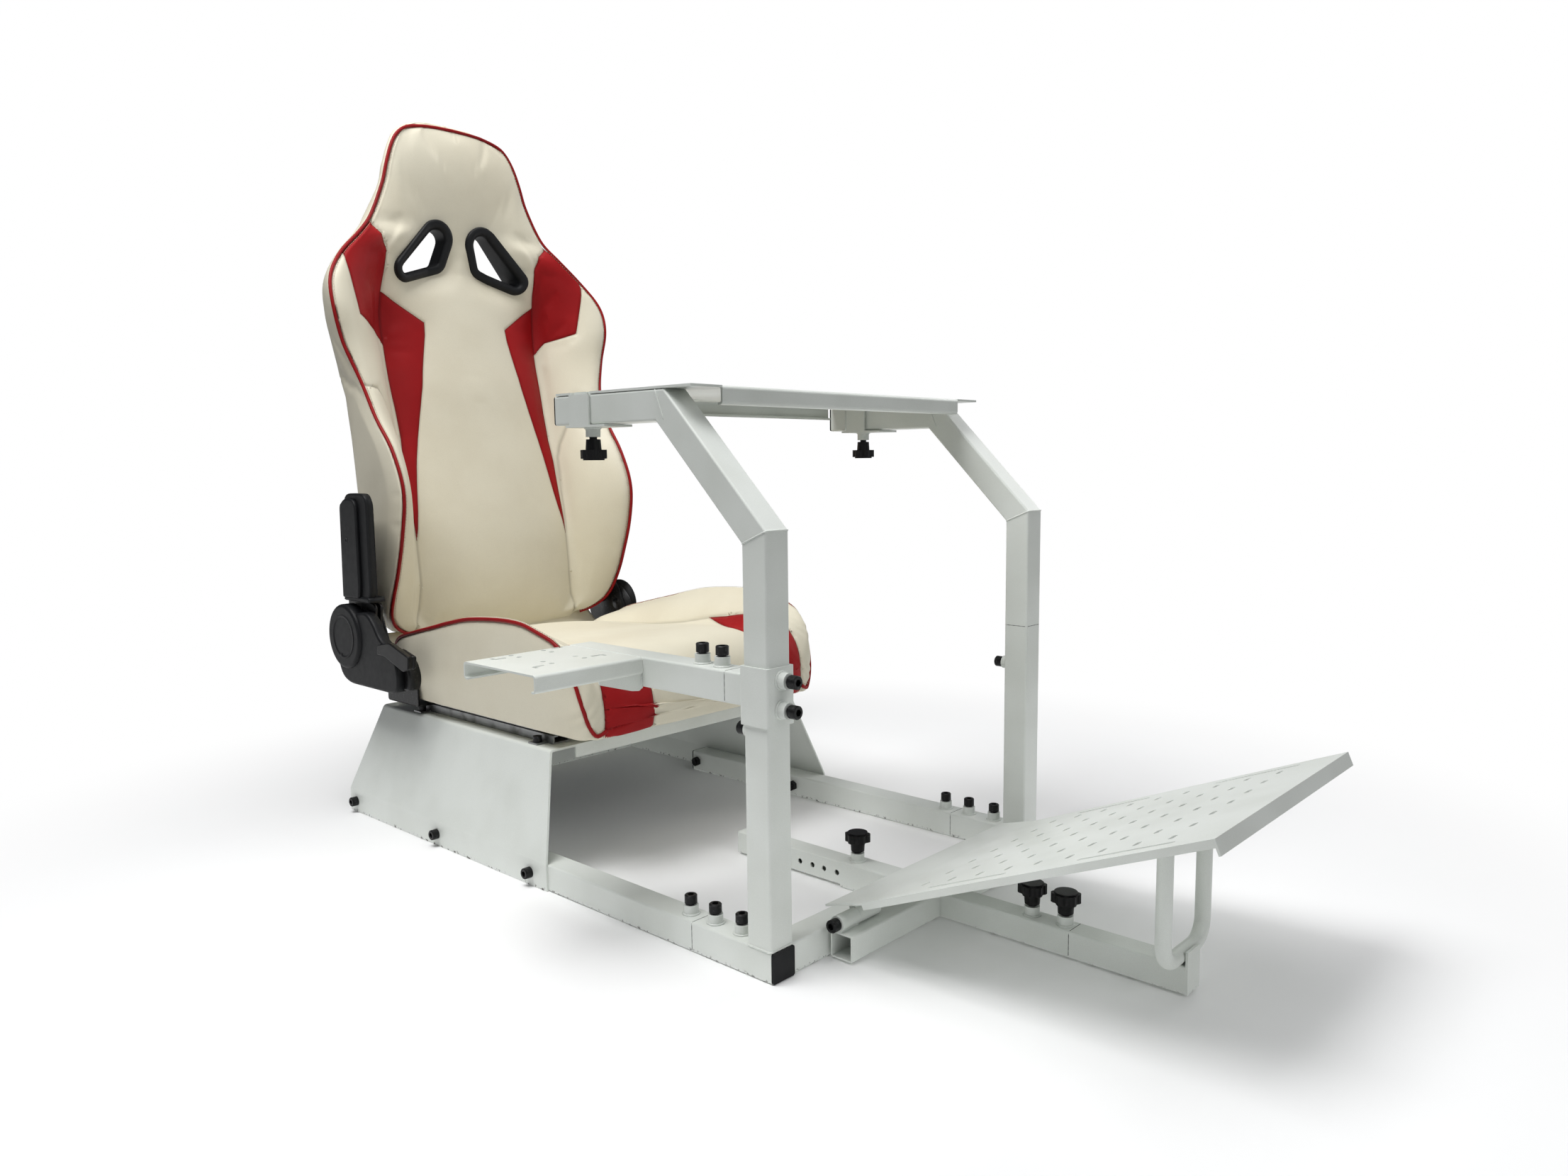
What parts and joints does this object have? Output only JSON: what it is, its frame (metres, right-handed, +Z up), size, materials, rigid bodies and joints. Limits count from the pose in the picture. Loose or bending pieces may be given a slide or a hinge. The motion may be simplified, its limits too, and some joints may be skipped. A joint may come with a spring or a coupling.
{
  "type": "sim racing cockpit",
  "caption": "Square-tube racing simulator frame with a reclining bucket seat on runners, wheel plate, shifter plate and tilting pedal plate.",
  "frame": {"origin": "under the middle of the front cross tube, at floor level", "axes": "+X to the driver's left, +Y back from the pedals to the seat, +Z up"},
  "size_m": [0.7885, 1.6507, 1.234],
  "materials": {
    "powder_coat": "satin white-grey powder coat",
    "black_plastic": "fine-grained matt black moulding",
    "black_steel": "black oxide, slightly oiled",
    "runner_steel": "bright zinc-plated steel",
    "cream_leather": "smooth synthetic leather with a fine grain, cream with deep red panels and piping"
  },
  "bodies": {
    "frame": {"right_foot": "powder_coat", "left_foot": "powder_coat", "right_post": "powder_coat", "left_post": "powder_coat", "front_cross_tube": "powder_coat", "pedal_sleeve": "powder_coat", "right_rail": "powder_coat", "left_rail": "powder_coat", "right_side_plate": "powder_coat", "left_side_plate": "powder_coat", "seat_beams": "powder_coat", "rear_floor_tube": "powder_coat", "lower_runners": "runner_steel", "frame_plugs": "black_plastic", "frame_screws": "black_steel", "shifter_sleeve": "powder_coat"},
    "wheel_arms": {"right_wheel_arm": "powder_coat", "left_wheel_arm": "powder_coat", "arm_plugs": "black_plastic"},
    "wheel_deck": {"wheel_plate": "powder_coat", "deck_clamps": "powder_coat"},
    "right_clamp_knob": {"right_clamp_knob": "black_plastic"},
    "left_clamp_knob": {"left_clamp_knob": "black_plastic"},
    "shifter_support": {"shifter_arm": "powder_coat", "shifter_plate": "powder_coat", "shifter_screws": "black_steel"},
    "pedal_tongue": {"pedal_tongue": "powder_coat", "pedal_cross_tube": "powder_coat", "pedal_pivot_screws": "black_steel"},
    "pedal_sleeve_knob": {"pedal_sleeve_knob": "black_plastic"},
    "pedal_prop": {"pedal_prop": "powder_coat", "prop_bar": "powder_coat"},
    "rear_prop_knob": {"rear_prop_knob": "black_plastic"},
    "front_prop_knob": {"front_prop_knob": "black_plastic"},
    "pedal_plate": {"pedal_plate": "powder_coat"},
    "seat": {"upper_runners": "runner_steel", "seat_pan": "black_steel", "seat_cushion": "cream_leather", "recliner_bases": "black_plastic"},
    "right_lever": {"right_lever": "black_plastic"},
    "left_lever": {"left_lever": "black_plastic"},
    "seat_back": {"backrest": "cream_leather", "harness_rings": "black_plastic", "recliner_arms": "black_plastic"}
  },
  "joints": [
    {"name": "wheel_height", "type": "slide", "parent": "frame", "child": "wheel_arms", "axis": [0, 0, 1], "range_m": [0, 0.06]},
    {"name": "wheel_reach", "type": "slide", "parent": "wheel_arms", "child": "wheel_deck", "axis": [0, 1, 0], "range_m": [-0.05, 0.03]},
    {"name": "right_clamp_turn", "type": "hinge", "parent": "wheel_deck", "child": "right_clamp_knob", "pos_m": [-0.281, 0.305, 0.6], "axis": [0, 0, 1], "continuous": true},
    {"name": "left_clamp_turn", "type": "hinge", "parent": "wheel_deck", "child": "left_clamp_knob", "pos_m": [0.281, 0.305, 0.6], "axis": [0, 0, 1], "continuous": true},
    {"name": "shifter_reach", "type": "slide", "parent": "frame", "child": "shifter_support", "axis": [0, 1, 0], "range_m": [0, 0.03]},
    {"name": "pedal_reach", "type": "slide", "parent": "frame", "child": "pedal_tongue", "axis": [0, -1, 0], "range_m": [0, 0.16]},
    {"name": "pedal_sleeve_turn", "type": "hinge", "parent": "frame", "child": "pedal_sleeve_knob", "pos_m": [0, 0.094, 0.08], "axis": [0, 0, 1], "continuous": true},
    {"name": "pedal_prop_slide", "type": "slide", "parent": "pedal_tongue", "child": "pedal_prop", "axis": [0, -1, 0], "range_m": [0, 0.06]},
    {"name": "rear_prop_turn", "type": "hinge", "parent": "pedal_tongue", "child": "rear_prop_knob", "pos_m": [0, -0.184, 0.08], "axis": [0, 0, 1], "continuous": true},
    {"name": "front_prop_turn", "type": "hinge", "parent": "pedal_tongue", "child": "front_prop_knob", "pos_m": [0, -0.23, 0.08], "axis": [0, 0, 1], "continuous": true},
    {"name": "pedal_tilt", "type": "hinge", "parent": "pedal_tongue", "child": "pedal_plate", "pos_m": [0, -0.0345, 0.0455], "axis": [1, 0, 0], "range_deg": [0, 3.5]},
    {"name": "seat_slide", "type": "slide", "parent": "frame", "child": "seat", "axis": [0, 1, 0], "range_m": [-0.05, 0.05]},
    {"name": "backrest_recline", "type": "hinge", "parent": "seat", "child": "seat_back", "pos_m": [0, 0.94, 0.313], "axis": [-1, 0, 0], "range_deg": [-8, 60]},
    {"name": "right_lever_lift", "type": "hinge", "parent": "seat", "child": "right_lever", "pos_m": [-0.322, 0.812, 0.303], "axis": [-1, 0, 0], "range_deg": [0, 18], "stiffness_Nm_per_rad": 2},
    {"name": "left_lever_lift", "type": "hinge", "parent": "seat", "child": "left_lever", "pos_m": [0.322, 0.812, 0.303], "axis": [-1, 0, 0], "range_deg": [0, 18], "stiffness_Nm_per_rad": 2}
  ],
  "couplings": [
    {"joint": "pedal_tilt", "follows": "pedal_prop_slide", "rad_per_m": 0.87}
  ]
}
